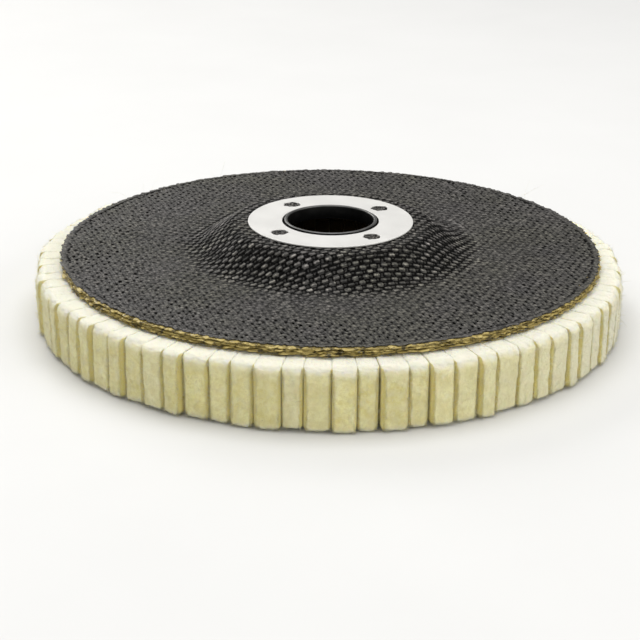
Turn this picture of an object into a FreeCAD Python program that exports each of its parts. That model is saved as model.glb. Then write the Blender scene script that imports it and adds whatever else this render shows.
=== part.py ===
"""Felt flap disc, 150 mm: a dished glass-fibre backing plate on a steel arbor sleeve, with a ring of
84 wool-felt flaps standing on edge under its rim.

Frame: millimetres, +Z up along the spindle axis towards the raised hub. The origin is on the axis,
in the plane of the felt's working face. +X lies between the last flap and the first.
"""
import FreeCAD, Part
import math
import os

import Sketcher

DIMENSIONS = {
    # steel parts at the hub
    "bore_radius": 11.115,
    "sleeve_radius": 12.0,
    "sleeve_lip": 0.4,
    "flange_radius": 20.0,
    "flange_thickness": 0.8,
    "washer_hole_radius": 12.5,
    "washer_radius": 21.3,
    "washer_thickness": 0.4,
    "pierced_radius": 2.1,
    "pierced_circle": 16.5,
    "pierced_angle": 38.3,
    # backing plate, from the black facing down through three natural glass plies
    "plate_radius": 69.2,
    "ply_hole_radius": 12.1,
    "facing_thickness": 0.3,
    "glass_thickness": 0.6,
    "hub_rise": 6.3,
    "hub_flat_radius": 24.0,
    "flare_end_radius": 37.0,
    "shoulder_bend": 4.0,
    "flare_bend": 9.0,
    # resin between the plate and the felt, and its bead round the flaps' inner ends
    "resin_thickness": 0.4,
    "resin_radius": 68.8,
    "bead_radius": 50.0,
    "bead_drop": 2.6,
    "bead_foot": 0.5,
    # felt flaps: crowded together as far out as the pinch radius, with gaps that open beyond it
    "flap_count": 84,
    "felt_height": 15.5,
    "felt_inner_radius": 53.0,
    "felt_pinch_radius": 67.0,
    "felt_radius": 75.0,
    "flap_clearance": 0.06,
    "usual_gap": 0.56,
    "gap_variation": 0.3,
    "wide_gap": 1.25,
    "side_drift": 0.35,
}
GLASS_PLIES = ("glass_ply_upper", "glass_ply_middle", "glass_ply_lower")
FLAPS_PER_NODE = 2
# The flaps whose gap to the flap before them is wider than the rest.
WIDE_GAP_BEFORE = (3, 11, 16, 24, 31, 38, 46, 51, 57, 65, 67, 69, 75, 80)

# Heights of the stack's faces, as sheet formulas.
RESIN_TOP = "sheet.felt_height + sheet.resin_thickness"
PLATE_TOP = f"{RESIN_TOP} + {len(GLASS_PLIES)} * sheet.glass_thickness + sheet.facing_thickness"
HUB_TOP = f"{PLATE_TOP} + sheet.hub_rise"
WASHER_TOP = f"{HUB_TOP} + sheet.washer_thickness"
HUB_UNDERSIDE = f"{RESIN_TOP} + sheet.hub_rise"

doc = FreeCAD.newDocument("felt_flap_disc")
sheet = doc.addObject("Spreadsheet::Sheet", "sheet")
for row, (alias, size) in enumerate(DIMENSIONS.items(), start=1):
    sheet.set(f"A{row}", alias)
    sheet.set(f"B{row}", str(size))
    sheet.setAlias(f"B{row}", alias)
doc.recompute()

nodes = []


def value(formula):
    """The present value of a sheet formula."""
    return float(sheet.evalExpression(formula))


# ---------------------------------------------------------------- sketches

def new_body(label):
    body = doc.addObject("PartDesign::Body", label)
    body.Label = label
    return body


def sketch_on(body, role, name):
    """An empty sketch on one of the body's own origin planes."""
    sketch = body.newObject("Sketcher::SketchObject", name)
    plane = next(item for item in body.Origin.OriginFeatures if item.Role == role)
    sketch.AttachmentSupport = [(plane, "")]
    sketch.MapMode = "FlatFace"
    return sketch


def bind(sketch, formula, kind, *where):
    """Add one dimension and tie it to a sheet formula."""
    index = sketch.addConstraint(Sketcher.Constraint(kind, *where, value(formula)))
    sketch.setExpression(f"Constraints[{index}]", formula)


def pin(sketch, geometry, vertex, x_formula, y_formula):
    """Hold one vertex at a place given from the sketch's origin."""
    bind(sketch, x_formula, "DistanceX", -1, 1, geometry, vertex)
    bind(sketch, y_formula, "DistanceY", -1, 1, geometry, vertex)


def draw_polygon(sketch, corners):
    """A closed outline of straight lines through corners given as pairs of formulas."""
    points = [FreeCAD.Vector(value(x), value(y), 0) for x, y in corners]
    count = len(points)
    for index in range(count):
        line = Part.LineSegment(points[index], points[(index + 1) % count])
        sketch.addGeometry(line, False)
    for index, (x_formula, y_formula) in enumerate(corners):
        sketch.addConstraint(Sketcher.Constraint("Coincident", index, 2, (index + 1) % count, 1))
        pin(sketch, index, 1, x_formula, y_formula)


def revolve(body, sketch):
    """Turn a profile drawn on the XZ plane once round the spindle axis."""
    turned = body.newObject("PartDesign::Revolution", f"{body.Label}_revolution")
    turned.Profile = sketch
    turned.ReferenceAxis = (sketch, ["V_Axis"])
    turned.Angle = 360
    body.Tip = turned
    return turned


# ---------------------------------------------------------------- steel parts

def make_hub_washer():
    """Flat ring on the hub with four pierced holes."""
    body = new_body("hub_washer")
    profile = sketch_on(body, "XZ_Plane", "washer_profile")
    draw_polygon(profile, [
        ("sheet.washer_hole_radius", HUB_TOP),
        ("sheet.washer_radius", HUB_TOP),
        ("sheet.washer_radius", WASHER_TOP),
        ("sheet.washer_hole_radius", WASHER_TOP),
    ])
    revolve(body, profile)

    hole = sketch_on(body, "XY_Plane", "pierced_hole")
    centre = FreeCAD.Vector(value("sheet.pierced_circle"), 1, 0)
    hole.addGeometry(Part.Circle(centre, FreeCAD.Vector(0, 0, 1), value("sheet.pierced_radius")), False)
    pin(hole, 0, 3, "sheet.pierced_circle * cos(sheet.pierced_angle * 1 deg)",
        "sheet.pierced_circle * sin(sheet.pierced_angle * 1 deg)")
    bind(hole, "sheet.pierced_radius", "Radius", 0)
    pocket = body.newObject("PartDesign::Pocket", "pierced_pocket")
    pocket.Profile = hole
    pocket.Type = "ThroughAll"
    pocket.Reversed = True
    pattern = body.newObject("PartDesign::PolarPattern", "pierced_pattern")
    pattern.Originals = [pocket]
    pattern.Axis = (hole, ["N_Axis"])
    pattern.Angle = 360
    pattern.Occurrences = 4
    body.Tip = pattern
    nodes.append(body)


def make_arbor_sleeve():
    """Bush through the laminate: a lip above the washer and a clamping flange below the plies."""
    body = new_body("arbor_sleeve")
    profile = sketch_on(body, "XZ_Plane", "sleeve_profile")
    flange_base = f"{HUB_UNDERSIDE} - sheet.flange_thickness"
    lip_top = f"{WASHER_TOP} + sheet.sleeve_lip"
    draw_polygon(profile, [
        ("sheet.bore_radius", flange_base),
        ("sheet.flange_radius", flange_base),
        ("sheet.flange_radius", HUB_UNDERSIDE),
        ("sheet.sleeve_radius", HUB_UNDERSIDE),
        ("sheet.sleeve_radius", lip_top),
        ("sheet.bore_radius", lip_top),
    ])
    revolve(body, profile)
    nodes.append(body)


# ---------------------------------------------------------------- backing plate

def slope_angle():
    """Steepest angle of the hub's wall, in radians: the line tangent to its two bends."""
    run = value("sheet.flare_end_radius - sheet.hub_flat_radius")
    bends = value("sheet.shoulder_bend + sheet.flare_bend")
    drop = bends - value("sheet.hub_rise")
    return math.asin(bends / math.hypot(run, drop)) - math.atan2(drop, run)


def draw_surface(sketch, depth, first):
    """One face of a ply, from the arbor hole out to the rim, at a depth below the facing's top.

    Five edges, numbered from first: hub flat, shoulder arc, sloping wall, flare arc, plate flat.
    All faces share the bends' centres, so every ply keeps one thickness through the dish.
    """
    angle = slope_angle()
    along = FreeCAD.Vector(math.cos(angle), -math.sin(angle), 0)
    upward = FreeCAD.Vector(math.sin(angle), math.cos(angle), 0)
    normal = FreeCAD.Vector(0, 0, 1)
    hub_height = f"{HUB_TOP} - ({depth})"
    plate_height = f"{PLATE_TOP} - ({depth})"
    shoulder_radius = f"sheet.shoulder_bend - ({depth})"
    flare_radius = f"sheet.flare_bend + ({depth})"
    shoulder_centre = ("sheet.hub_flat_radius", f"{HUB_TOP} - sheet.shoulder_bend")
    flare_centre = ("sheet.flare_end_radius", f"{PLATE_TOP} + sheet.flare_bend")

    shoulder_at = FreeCAD.Vector(*map(value, shoulder_centre), 0)
    flare_at = FreeCAD.Vector(*map(value, flare_centre), 0)
    slope_top = shoulder_at + upward * value(shoulder_radius)
    slope_end = flare_at - upward * value(flare_radius)
    inner = FreeCAD.Vector(value("sheet.ply_hole_radius"), value(hub_height), 0)
    hub_edge = FreeCAD.Vector(shoulder_at.x, value(hub_height), 0)
    flare_edge = FreeCAD.Vector(flare_at.x, value(plate_height), 0)
    rim = FreeCAD.Vector(value("sheet.plate_radius"), value(plate_height), 0)
    shoulder = Part.Circle(shoulder_at, normal, value(shoulder_radius))
    flare = Part.Circle(flare_at, normal, value(flare_radius))
    sketch.addGeometry([
        Part.LineSegment(inner, hub_edge),
        Part.ArcOfCircle(shoulder, math.pi / 2 - angle, math.pi / 2),
        Part.LineSegment(slope_top, slope_end),
        Part.ArcOfCircle(flare, 1.5 * math.pi - angle, 1.5 * math.pi),
        Part.LineSegment(flare_edge, rim),
    ], False)

    hub, bend, wall, sweep, flat = range(first, first + 5)
    for chain in ((hub, 2, bend, 2), (bend, 1, wall, 1), (wall, 2, sweep, 1), (sweep, 2, flat, 1)):
        sketch.addConstraint(Sketcher.Constraint("Tangent", *chain))
    pin(sketch, bend, 3, *shoulder_centre)
    bind(sketch, shoulder_radius, "Radius", bend)
    pin(sketch, sweep, 3, *flare_centre)
    bind(sketch, flare_radius, "Radius", sweep)
    sketch.addConstraint(Sketcher.Constraint("Horizontal", hub))
    sketch.addConstraint(Sketcher.Constraint("Horizontal", flat))
    bind(sketch, "sheet.ply_hole_radius", "DistanceX", -1, 1, hub, 1)
    bind(sketch, "sheet.plate_radius", "DistanceX", -1, 1, flat, 2)
    return inner, rim


def make_ply(label, depth, thickness):
    """One ply of the dished plate, at a depth below the facing's top."""
    body = new_body(label)
    profile = sketch_on(body, "XZ_Plane", f"{label}_profile")
    top_inner, top_rim = draw_surface(profile, depth, 0)
    low_inner, low_rim = draw_surface(profile, f"{depth} + {thickness}", 5)
    profile.addGeometry([
        Part.LineSegment(top_inner, low_inner),
        Part.LineSegment(top_rim, low_rim),
    ], False)
    for chain in ((10, 1, 0, 1), (10, 2, 5, 1), (11, 1, 4, 2), (11, 2, 9, 2)):
        profile.addConstraint(Sketcher.Constraint("Coincident", *chain))
    revolve(body, profile)
    nodes.append(body)


def make_plate():
    """The black facing ply over the natural glass plies."""
    make_ply("facing_ply", "0", "sheet.facing_thickness")
    for index, label in enumerate(GLASS_PLIES):
        depth = f"sheet.facing_thickness + {index} * sheet.glass_thickness"
        make_ply(label, depth, "sheet.glass_thickness")


# ---------------------------------------------------------------- resin and felt

def make_adhesive_bed():
    """Resin ring over the flaps, with a bead that fills the corner at their inner ends."""
    body = new_body("adhesive_bed")
    profile = sketch_on(body, "XZ_Plane", "resin_profile")
    bead_wall = "sheet.felt_inner_radius - sheet.flap_clearance"
    bead_base = "sheet.felt_height - sheet.bead_drop"
    draw_polygon(profile, [
        ("sheet.bead_radius", RESIN_TOP),
        ("sheet.resin_radius", RESIN_TOP),
        ("sheet.resin_radius", "sheet.felt_height"),
        (bead_wall, "sheet.felt_height"),
        (bead_wall, bead_base),
        (f"{bead_wall} - sheet.bead_foot", bead_base),
    ])
    revolve(body, profile)
    nodes.append(body)


def gap_formula(flap):
    """Width of the gap before a flap, at the felt's outer radius. The gaps are uneven, as glued."""
    if flap in WIDE_GAP_BEFORE:
        return "sheet.wide_gap"
    return f"(sheet.usual_gap + sheet.gap_variation * sin({flap} * 222.5 deg))"


def drift_formula(flap):
    """How far the joint before a flap has turned from its even place."""
    return f"sheet.side_drift * 1 deg * sin({flap} * 137.5 deg)"


def flap_side(flap, direction):
    """Offsets of one side of a flap from its own radius, at the inner, pinch and outer radii."""
    joint = (flap + (direction > 0)) % int(value("sheet.flap_count"))
    half_pitch = f"180 deg / sheet.flap_count + {direction} * {drift_formula(joint)}"
    halves = ("sheet.flap_clearance / 2", "sheet.flap_clearance / 2", f"{gap_formula(joint)} / 2")
    radii = ("sheet.felt_inner_radius", "sheet.felt_pinch_radius", "sheet.felt_radius")
    return [f"{direction} * ({radius} * tan({half_pitch}) - {half})"
            for radius, half in zip(radii, halves)]


def make_flap(flap):
    """One felt block on edge, squeezed where its neighbours touch it and free at its outer end."""
    body = new_body(f"flap_{flap + 1:02d}")
    outline = sketch_on(body, "XY_Plane", f"flap_outline_{flap + 1:02d}")
    right_inner, right_pinch, right_outer = flap_side(flap, -1)
    left_inner, left_pinch, left_outer = flap_side(flap, 1)
    draw_polygon(outline, [
        ("sheet.felt_inner_radius", right_inner),
        ("sheet.felt_pinch_radius", right_pinch),
        ("sheet.felt_radius", right_outer),
        ("sheet.felt_radius", left_outer),
        ("sheet.felt_pinch_radius", left_pinch),
        ("sheet.felt_inner_radius", left_inner),
    ])
    pad = body.newObject("PartDesign::Pad", f"flap_pad_{flap + 1:02d}")
    pad.Profile = outline
    pad.setExpression("Length", "sheet.felt_height")
    body.Tip = pad
    body.setExpression("Placement.Rotation.Angle", f"({flap} + 0.5) * 360 deg / sheet.flap_count")
    return body


def make_felt_ring():
    """All the flaps, joined two to a node as separate solids."""
    flaps = [make_flap(flap) for flap in range(int(value("sheet.flap_count")))]
    for start in range(0, len(flaps), FLAPS_PER_NODE):
        group = doc.addObject("Part::Compound", "felt_group")
        group.Label = f"felt_flaps_{start // FLAPS_PER_NODE + 1:02d}"
        group.Links = flaps[start:start + FLAPS_PER_NODE]
        nodes.append(group)


# ---------------------------------------------------------------- check and write

def check_document():
    """Stop at the first feature that failed, or sub-part that isn't a valid shape."""
    for item in doc.Objects:
        if "Invalid" in item.State or "Error" in item.State:
            raise RuntimeError(f"{item.Label} failed: {item.State}")
    for node in nodes:
        if node.Shape.isNull() or not node.Shape.isValid():
            raise RuntimeError(f"{node.Label} has no valid shape")


make_hub_washer()
make_arbor_sleeve()
make_plate()
make_adhesive_bed()
make_felt_ring()
doc.recompute()
check_document()

os.makedirs("parts", exist_ok=True)
for node in nodes:
    node.Shape.exportStep(os.path.join("parts", f"{node.Label}.step"))
    print(f"{node.Label}: {len(node.Shape.Solids)} solid(s), {node.Shape.Volume / 1000:.2f} cm3")
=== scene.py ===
"""Looks for the felt flap disc: woven backing plate, steel hub parts, resin and 84 wool-felt flaps.

Shapes are worked out in millimetres in the CAD frame and scaled to metres as each mesh is made.
"""

import itertools
import math
from dataclasses import dataclass

import bpy
import numpy as np
from mathutils import Matrix, Vector


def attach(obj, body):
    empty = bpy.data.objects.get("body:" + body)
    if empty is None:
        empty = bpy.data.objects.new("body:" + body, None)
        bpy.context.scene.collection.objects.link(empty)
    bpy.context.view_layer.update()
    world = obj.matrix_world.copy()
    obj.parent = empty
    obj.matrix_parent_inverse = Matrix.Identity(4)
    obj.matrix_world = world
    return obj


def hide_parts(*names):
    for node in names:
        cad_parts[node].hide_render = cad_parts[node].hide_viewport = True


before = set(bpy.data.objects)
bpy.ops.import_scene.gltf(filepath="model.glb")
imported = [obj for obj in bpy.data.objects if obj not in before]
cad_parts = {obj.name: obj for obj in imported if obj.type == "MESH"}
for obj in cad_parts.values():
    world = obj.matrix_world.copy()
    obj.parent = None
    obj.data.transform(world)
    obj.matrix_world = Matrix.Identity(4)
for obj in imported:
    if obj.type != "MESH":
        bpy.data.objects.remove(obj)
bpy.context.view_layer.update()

MM = 0.001
TURN = 2 * math.pi
# Each natural ply from the top: the way its yarns run in degrees, how far its cut rim stands back,
# and how far its frayed fibres hang below it.
GLASS_PLIES = {
    "glass_ply_upper": (20, 0.3, 0),
    "glass_ply_middle": (57, 0.15, 0),
    "glass_ply_lower": (8, 0.1, 0.3),
}
FLAP_NODES = sorted(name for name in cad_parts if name.startswith("felt_flaps_"))
FLAPS_PER_NODE = 2
FLAP_COUNT = len(FLAP_NODES) * FLAPS_PER_NODE

GRADIENTS = np.random.default_rng(7).normal(size=(1024, 3))
GRADIENTS /= np.linalg.norm(GRADIENTS, axis=1, keepdims=True)


# ---------------------------------------------------------------- numbers and the CAD frame

def noise(points, scale, seed=0):
    """Smooth gradient noise, about -1 to 1, at points in mm. scale is the size of its lumps."""
    place = points / scale + seed * 17.31
    cell = np.floor(place).astype(np.int64)
    part = place - cell
    fade = part ** 3 * (part * (part * 6 - 15) + 10)
    total = np.zeros(len(points))
    for corner in itertools.product((0, 1), repeat=3):
        corner = np.array(corner)
        lattice = (cell + corner) * np.array([73856093, 19349663, 83492791])
        key = lattice[:, 0] ^ lattice[:, 1] ^ lattice[:, 2]
        slope = GRADIENTS[(key ^ (key >> 7)) % len(GRADIENTS)]
        weight = np.prod(np.where(corner, fade, 1 - fade), axis=1)
        total += weight * np.einsum("ij,ij->i", slope, part - corner)
    return total * 1.6


def plan_noise(x, y, scale, seed=0):
    """Noise over the disc's plane."""
    return noise(np.column_stack([x, y, np.zeros_like(x)]), scale, seed)


def unit(value):
    """A value held between 0 and 1."""
    return np.clip(value, 0, 1)


def radius_of(vertices):
    """Distances from the axis."""
    return np.hypot(vertices[:, 0], vertices[:, 1])


def mesh_vertices(mesh):
    """A mesh's vertices, in mm."""
    flat = np.empty(len(mesh.vertices) * 3, np.float32)
    mesh.vertices.foreach_get("co", flat)
    return flat.reshape(-1, 3).astype(float) / MM


def node_vertices(node):
    """A CAD node's vertices, in mm."""
    return mesh_vertices(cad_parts[node].data)


def node_span(node):
    """A round CAD node's inner and outer radius and its lowest and highest level, in mm."""
    vertices = node_vertices(node)
    radius, level = radius_of(vertices), vertices[:, 2]
    return radius.min(), radius.max(), level.min(), level.max()


def node_face_profile(node, upper):
    """Radius and height along a dished CAD ply's upper or lower face, from the hole to the rim."""
    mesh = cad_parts[node].data
    sign = 1 if upper else -1
    facing = [np.array(face.vertices) for face in mesh.polygons if face.normal.z * sign > 0.3]
    vertices = mesh_vertices(mesh)[np.unique(np.concatenate(facing))]
    radius = np.round(radius_of(vertices), 2)
    radii = np.unique(radius)
    return radii, np.array([vertices[radius == r, 2].mean() for r in radii])


# ---------------------------------------------------------------- meshes

def add_object(name, data):
    """A new object in the scene."""
    made = bpy.data.objects.new(name, data)
    bpy.context.scene.collection.objects.link(made)
    return made


def build_piece(name, vertices, faces, slot, replaced, attributes=None):
    """A new piece from vertices in mm and a list of arrays of quads or triangles."""
    mesh = bpy.data.meshes.new(name)
    corners = np.concatenate([group.ravel() for group in faces]).astype(np.int32)
    sizes = np.concatenate([np.full(len(group), group.shape[1]) for group in faces])
    starts = np.concatenate([[0], np.cumsum(sizes)[:-1]]).astype(np.int32)
    mesh.vertices.add(len(vertices))
    mesh.vertices.foreach_set("co", (vertices * MM).astype(np.float32).ravel())
    mesh.loops.add(len(corners))
    mesh.loops.foreach_set("vertex_index", corners)
    mesh.polygons.add(len(sizes))
    mesh.polygons.foreach_set("loop_start", starts)
    mesh.update(calc_edges=True)
    mesh.validate()
    mesh.polygons.foreach_set("use_smooth", np.full(len(mesh.polygons), True))
    for label, values in (attributes or {}).items():
        kind, field = ("FLOAT", "value") if values.ndim == 1 else ("FLOAT_VECTOR", "vector")
        layer = mesh.attributes.new(label, kind, "POINT")
        layer.data.foreach_set(field, values.astype(np.float32).ravel())
    mesh.materials.append(MATERIALS[slot])
    piece = add_object(name, mesh)
    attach(piece, "root")
    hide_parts(*replaced)
    return piece


def grid_quads(rows, columns, wrap_rows=False, wrap_columns=False):
    """Quads over a grid of vertices stored row by row."""
    row = np.arange(rows if wrap_rows else rows - 1)
    column = np.arange(columns if wrap_columns else columns - 1)
    r, c = (part.ravel() for part in np.meshgrid(row, column, indexing="ij"))
    next_r, next_c = (r + 1) % rows, (c + 1) % columns
    return np.column_stack([r * columns + c, next_r * columns + c,
                            next_r * columns + next_c, r * columns + next_c])


def rounded(corners, radii, steps):
    """A closed outline with each corner turned into an arc of its own radius."""
    corners = [np.array(corner, float) for corner in corners]
    outline = []
    for index, corner in enumerate(corners):
        before = corners[index - 1] - corner
        after = corners[(index + 1) % len(corners)] - corner
        before /= np.linalg.norm(before)
        after /= np.linalg.norm(after)
        half = math.acos(np.clip(before @ after, -1, 1)) / 2
        reach = radii[index] / math.tan(half)
        start, end = corner + before * reach, corner + after * reach
        for share in np.linspace(0, 1, steps):
            pull = 2 * share * (1 - share)
            outline.append(start * (1 - share) ** 2 + corner * pull + end * share ** 2)
    return np.array(outline)


def revolve(radii, heights, angles):
    """Places at each angle round the axis, for each radius and its height."""
    return np.stack([np.outer(np.cos(angles), radii), np.outer(np.sin(angles), radii),
                     np.broadcast_to(heights, (len(angles), len(radii)))], axis=-1)


def lathe(outline, segments):
    """Turn a closed (radius, height) outline round the axis."""
    angles = np.arange(segments) / segments * TURN
    return revolve(*outline.T, angles).reshape(-1, 3), grid_quads(segments, len(outline), True, True)


def tubes(centres, across, up, sides):
    """Closed tubes along a batch of paths: centres, across and up are (batch, rings, 3) arrays."""
    batch, rings, _ = centres.shape
    angle = np.arange(sides) / sides * TURN
    wall = (centres[:, :, None] + across[:, :, None] * np.cos(angle)[:, None]
            + up[:, :, None] * np.sin(angle)[:, None]).reshape(batch, -1, 3)
    vertices = np.concatenate([wall, centres[:, :1], centres[:, -1:]], axis=1)
    quads = grid_quads(rings, sides, False, True)[:, ::-1]
    ring = np.arange(sides)
    following = (ring + 1) % sides
    last = (rings - 1) * sides
    start_cap = np.column_stack([np.full(sides, rings * sides), following, ring])
    end_cap = np.column_stack([np.full(sides, rings * sides + 1), last + ring, last + following])
    offset = (np.arange(batch) * vertices.shape[1])[:, None, None]
    caps = np.concatenate([start_cap, end_cap])
    return vertices.reshape(-1, 3), [(quads + offset).reshape(-1, 4), (caps + offset).reshape(-1, 3)]


def join_parts(parts):
    """One set of vertices and face arrays from several (vertices, faces) parts."""
    vertices, quads, triangles, start = [], [], [], 0
    for part_vertices, part_faces in parts:
        vertices.append(part_vertices)
        for group in part_faces:
            (quads if group.shape[1] == 4 else triangles).append(group + start)
        start += len(part_vertices)
    faces = [np.concatenate(groups) for groups in (quads, triangles) if groups]
    return np.concatenate(vertices), faces


def stitch(ring_a, angles_a, ring_b, angles_b):
    """Triangles between two closed rings of vertices, each listed by rising angle."""
    count_a, count_b = len(ring_a), len(ring_b)
    a = b = 0
    triangles = []
    while a < count_a or b < count_b:
        next_a = angles_a[(a + 1) % count_a] + TURN * ((a + 1) // count_a)
        next_b = angles_b[(b + 1) % count_b] + TURN * ((b + 1) // count_b)
        corner_a, corner_b = ring_a[a % count_a], ring_b[b % count_b]
        if b >= count_b or (a < count_a and next_a <= next_b):
            triangles.append((corner_a, ring_a[(a + 1) % count_a], corner_b))
            a += 1
        else:
            triangles.append((corner_a, ring_b[(b + 1) % count_b], corner_b))
            b += 1
    return np.array(triangles)


def vertex_normals(points, quads):
    """The mean direction of the faces round each vertex."""
    a, b, c, d = (points[quads[:, corner]] for corner in range(4))
    face = np.cross(c - a, d - b)
    total = np.zeros_like(points)
    for corner in range(4):
        np.add.at(total, quads[:, corner], face)
    return total / np.maximum(np.linalg.norm(total, axis=1, keepdims=True), 1e-9)


# ---------------------------------------------------------------- materials

class Nodes:
    """Short calls for building one material's node tree."""

    def __init__(self, name):
        self.material = bpy.data.materials.new(name)
        self.material.use_nodes = True
        self.tree = self.material.node_tree
        self.shader = next(n for n in self.tree.nodes if n.type == "BSDF_PRINCIPLED")

    def add(self, kind, **settings):
        node = self.tree.nodes.new(kind)
        for key, setting in settings.items():
            setattr(node, key, setting)
        return node

    def feed(self, source, target):
        """Link a socket to an input, or set the input to a number or a colour."""
        if isinstance(source, bpy.types.NodeSocket):
            self.tree.links.new(source, target)
        elif hasattr(source, "__len__"):
            target.default_value = (*source, 1)
        else:
            target.default_value = source

    def stretched(self, vector, scale):
        node = self.add("ShaderNodeMapping")
        node.inputs["Scale"].default_value = scale
        self.feed(vector, node.inputs["Vector"])
        return node.outputs["Vector"]

    def place(self, scale=(1, 1, 1)):
        """Object coordinates in millimetres, stretched."""
        return self.stretched(self.add("ShaderNodeTexCoord").outputs["Object"], [s / MM for s in scale])

    def yarn_place(self, scale):
        """Places along and across the yarns, stretched."""
        return self.stretched(self.attribute("yarn", "Vector"), scale)

    def attribute(self, name, output="Fac"):
        return self.add("ShaderNodeAttribute", attribute_name=name).outputs[output]

    def noise(self, vector, size, detail=3, roughness=0.55):
        """Noise whose lumps are about size millimetres wide."""
        texture = self.add("ShaderNodeTexNoise")
        texture.inputs["Scale"].default_value = 1 / size
        texture.inputs["Detail"].default_value = detail
        texture.inputs["Roughness"].default_value = roughness
        self.feed(vector, texture.inputs["Vector"])
        return texture.outputs["Fac"]

    def ramp(self, value, *stops):
        """Colours or grey levels along a value: stops are (position, colour)."""
        node = self.add("ShaderNodeValToRGB")
        elements = node.color_ramp.elements
        while len(elements) < len(stops):
            elements.new(0.5)
        for element, (position, colour) in zip(elements, stops):
            element.position = position
            grey = not hasattr(colour, "__len__")
            element.color = (colour, colour, colour, 1) if grey else (*colour, 1)
        self.feed(value, node.inputs["Fac"])
        return node.outputs["Color"]

    def mix(self, share, first, second, blend="MIX"):
        node = self.add("ShaderNodeMix", data_type="RGBA", blend_type=blend)
        for source, target in ((share, 0), (first, 6), (second, 7)):
            self.feed(source, node.inputs[target])
        return node.outputs[2]

    def math(self, operation, first, second):
        node = self.add("ShaderNodeMath", operation=operation)
        self.feed(first, node.inputs[0])
        self.feed(second, node.inputs[1])
        return node.outputs[0]

    def bump(self, height, depth, strength=1.0):
        """Relief of a height value, whose full range is depth millimetres."""
        node = self.add("ShaderNodeBump")
        node.inputs["Distance"].default_value = depth * MM
        node.inputs["Strength"].default_value = strength
        self.feed(height, node.inputs["Height"])
        self.feed(node.outputs["Normal"], self.shader.inputs["Normal"])

    def set(self, **inputs):
        """Principled inputs by name, with _ for spaces: a number, a colour or a socket."""
        for name, source in inputs.items():
            self.feed(source, self.shader.inputs[name.replace("_", " ")])
        return self.material


def washer_steel():
    """Bright zinc-plated sheet, matte, with faint rolling marks and handling smudges."""
    n = Nodes("washer_steel")
    place = n.place()
    smudge = n.noise(place, 6, 4)
    grain = n.noise(n.place((1, 0.06, 1)), 0.25, 2)
    colour = n.mix(smudge, (0.60, 0.595, 0.575), (0.65, 0.64, 0.62))
    n.bump(grain, 0.01, 0.4)
    roughness = n.ramp(smudge, (0.3, 0.42), (0.7, 0.52))
    return n.set(Base_Color=colour, Metallic=0.35, Roughness=roughness)


def sleeve_steel():
    """Pressed steel, greyer, with fine turning marks round the axis, and painted shade making it near
    black in the bore and under the lip.
    """
    n = Nodes("sleeve_steel")
    stain = n.noise(n.place(), 3, 4)
    marks = n.noise(n.place((0.3, 0.3, 3)), 0.4, 3)
    steel = n.mix(stain, (0.06, 0.06, 0.058), (0.14, 0.14, 0.137))
    colour = n.mix(n.attribute("painted_shade"), steel, (0.004, 0.004, 0.004))
    n.bump(marks, 0.015, 0.5)
    return n.set(Base_Color=colour, Metallic=0.85, Roughness=n.ramp(stain, (0.3, 0.30), (0.75, 0.46)))


def black_weave():
    """Black glass cloth in dull resin: worn grey floats, dark hollows, fine fibre streaks. The darkening
    of the hollows is painted shade.
    """
    n = Nodes("black_weave")
    streak = n.noise(n.yarn_place((0.8, 1.6, 1.7)), 1, 3)
    place = n.place()
    drift = n.noise(place, 22, 3)
    patch = n.noise(place, 4, 4)
    fleck = n.noise(place, 0.7, 2)
    # Painted shade: the cloth darkens with depth, to near black in the hollows beside the floats and in
    # the groove round the bore.
    tone = n.ramp(n.attribute("depth"), (0.0, 0.40), (0.20, 0.175), (0.42, 0.056), (0.62, 0.012),
                  (0.85, 0.003))
    tint = n.mix(n.ramp(drift, (0.38, 0), (0.62, 1)), (1.0, 0.93, 0.88), (1.0, 0.95, 0.78))
    worn = n.ramp(patch, (0.3, 0.78), (0.72, 1.0))
    fibres = n.ramp(streak, (0.36, 0.28), (0.60, 1.0))
    dust = n.ramp(fleck, (0.38, 0.26), (0.58, 1.0))
    colour = n.mix(1.0, tone, tint, "MULTIPLY")
    for layer in (worn, fibres, dust):
        colour = n.mix(1.0, colour, layer, "MULTIPLY")
    n.bump(n.math("ADD", streak, n.noise(place, 0.35, 3)), 0.16, 0.6)
    gloss = n.ramp(n.attribute("depth"), (0.3, 0.25), (0.7, 0.03))
    roughness = n.ramp(patch, (0.3, 0.50), (0.7, 0.68))
    return n.set(Base_Color=colour, Roughness=roughness, Specular_IOR_Level=gloss)


def glass_cloth():
    """Natural glass rovings in tan resin: streaky, darker and browner in the hollows, which is painted
    shade.
    """
    n = Nodes("glass_cloth")
    streak = n.noise(n.yarn_place((0.5, 6, 1)), 1, 3)
    place = n.place()
    stain = n.noise(place, 2.6, 4)
    lit = n.mix(n.ramp(stain, (0.32, 0), (0.68, 1)), (0.33, 0.25, 0.065), (0.50, 0.40, 0.140))
    streaked = n.mix(n.ramp(streak, (0.33, 0.65), (0.58, 0)), lit, (0.20, 0.14, 0.03))
    sooty = n.mix(n.ramp(n.noise(place, 1.3, 3), (0.37, 0.9), (0.47, 0)), streaked, (0.04, 0.032, 0.012))
    # Painted shade: darker with depth in the hollows, behind the rim yarns and on the sunk body. On the
    # loose fibres the same value is a random tone.
    colour = n.mix(n.attribute("depth"), sooty, (0.06, 0.042, 0.010))
    n.bump(streak, 0.06, 0.7)
    return n.set(Base_Color=colour, Roughness=n.ramp(stain, (0.3, 0.36), (0.7, 0.55)),
                 Specular_IOR_Level=0.4)


def cured_resin():
    """Amber bonding resin, glossy, cloudy where it is thick."""
    n = Nodes("cured_resin")
    place = n.place()
    cloud = n.noise(place, 5, 4)
    colour = n.mix(n.ramp(cloud, (0.3, 0), (0.7, 1)), (0.12, 0.075, 0.022), (0.26, 0.17, 0.06))
    n.bump(n.noise(place, 1.2, 3), 0.15, 0.5)
    return n.set(Base_Color=colour, Roughness=0.3, Coat_Weight=0.3, Coat_Roughness=0.2)


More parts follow.
